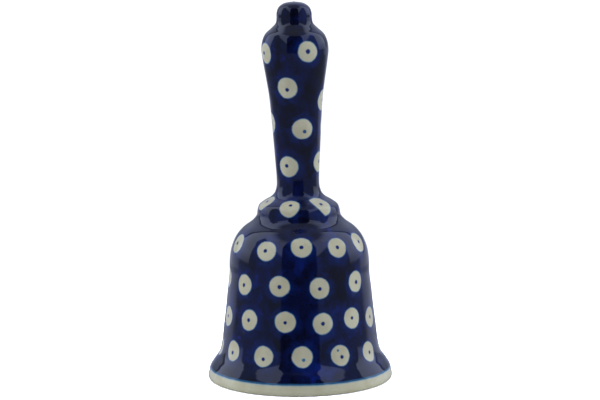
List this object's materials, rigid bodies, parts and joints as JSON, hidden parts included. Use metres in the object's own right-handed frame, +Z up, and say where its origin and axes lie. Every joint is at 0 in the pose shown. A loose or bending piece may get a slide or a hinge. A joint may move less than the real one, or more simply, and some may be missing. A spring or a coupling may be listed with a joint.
{
  "type": "hand bell",
  "caption": "Glazed stoneware table hand bell with a baluster handle, a flared cup, and a clapper that swings from a swivelling eye.",
  "frame": {"origin": "centre of the rim's foot, in the plane that the bell stands on", "axes": "+Z up along the bell's axis, from the rim to the knob; +X to the viewer's right; +Y away from the viewer"},
  "size_m": [0.086, 0.086, 0.175],
  "materials": {
    "cobalt_glaze": "glossy, with cream dots and a cream rim",
    "cream_glaze": "glossy",
    "brass": "drawn wire, a little dulled",
    "beech": "turned, oiled"
  },
  "bodies": {
    "bell": {"bell_cup": "cobalt_glaze", "handle": "cobalt_glaze", "crown_plug": "beech", "swivel_bush": "brass"},
    "hanger": {"hanger_washer": "brass", "hanger_eye": "brass"},
    "clapper": {"clapper_wire": "brass", "clapper_ball": "cream_glaze", "clapper_washer": "brass"}
  },
  "joints": [
    {"name": "hanger_swivel", "type": "hinge", "parent": "bell", "child": "hanger", "pos_m": [0, 0, 0.0741], "axis": [0, 0, 1], "continuous": true},
    {"name": "clapper_swing", "type": "hinge", "parent": "hanger", "child": "clapper", "pos_m": [0, 0, 0.0711], "axis": [0, 1, 0], "range_deg": [-24.3, 24.3]}
  ]
}
